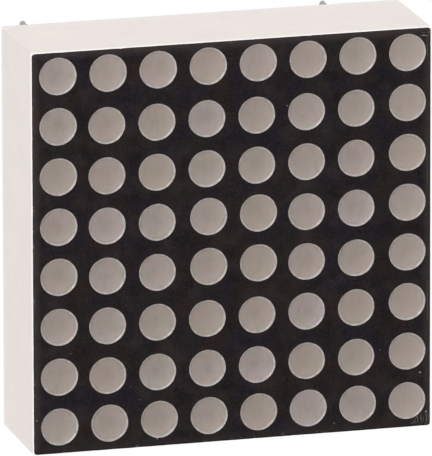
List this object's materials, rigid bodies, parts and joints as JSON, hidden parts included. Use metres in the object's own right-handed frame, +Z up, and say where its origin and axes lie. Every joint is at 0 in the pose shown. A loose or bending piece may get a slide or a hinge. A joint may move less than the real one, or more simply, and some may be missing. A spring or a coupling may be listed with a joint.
{
  "type": "led dot matrix",
  "caption": "Square LED dot-matrix display module: flush milky dots in a black face, a pale moulded housing, and two columns of straight pins at the back.",
  "frame": {"origin": "on the surface that the module stands on, below the middle of its whole depth", "axes": "+Z up along the face, +Y out of the back along the pins, +X to the right as seen from the face"},
  "size_m": [0.032, 0.0176, 0.0321],
  "materials": {
    "housing_plastic": "satin white, moulded",
    "black_film": "satin black",
    "lens_resin": "milky grey resin, flush",
    "red_chip": "polished crystal",
    "green_chip": "polished crystal",
    "wire_gold": "drawn wire",
    "pad_gold": "plated copper",
    "board_laminate": "green solder resist",
    "solder_tin": "bright solder",
    "rear_resin": "clear resin, slightly milky",
    "pin_tin": "tinned wire"
  },
  "bodies": {
    "root": {"reflector_housing": "housing_plastic", "black_face": "black_film", "dot_lenses_row_1": "lens_resin", "dot_lenses_row_2": "lens_resin", "dot_lenses_row_3": "lens_resin", "dot_lenses_row_4": "lens_resin", "dot_lenses_row_5": "lens_resin", "dot_lenses_row_6": "lens_resin", "dot_lenses_row_7": "lens_resin", "dot_lenses_row_8": "lens_resin", "red_chips_row_1": "red_chip", "red_chips_row_2": "red_chip", "red_chips_row_3": "red_chip", "red_chips_row_4": "red_chip", "red_chips_row_5": "red_chip", "red_chips_row_6": "red_chip", "red_chips_row_7": "red_chip", "red_chips_row_8": "red_chip", "green_chips_row_1": "green_chip", "green_chips_row_2": "green_chip", "green_chips_row_3": "green_chip", "green_chips_row_4": "green_chip", "green_chips_row_5": "green_chip", "green_chips_row_6": "green_chip", "green_chips_row_7": "green_chip", "green_chips_row_8": "green_chip", "red_bond_wires": "wire_gold", "green_bond_wires": "wire_gold", "chip_pads": "pad_gold", "circuit_board": "board_laminate", "pin_pads": "pad_gold", "solder_left": "solder_tin", "solder_right": "solder_tin", "rear_resin": "rear_resin", "pin_1": "pin_tin", "pin_2": "pin_tin", "pin_3": "pin_tin", "pin_4": "pin_tin", "pin_5": "pin_tin", "pin_6": "pin_tin", "pin_7": "pin_tin", "pin_8": "pin_tin", "pin_9": "pin_tin", "pin_10": "pin_tin", "pin_11": "pin_tin", "pin_12": "pin_tin", "pin_13": "pin_tin", "pin_14": "pin_tin", "pin_15": "pin_tin", "pin_16": "pin_tin", "pin_17": "pin_tin", "pin_18": "pin_tin", "pin_19": "pin_tin", "pin_20": "pin_tin", "pin_21": "pin_tin", "pin_22": "pin_tin", "pin_23": "pin_tin", "pin_24": "pin_tin"}
  },
  "joints": []
}
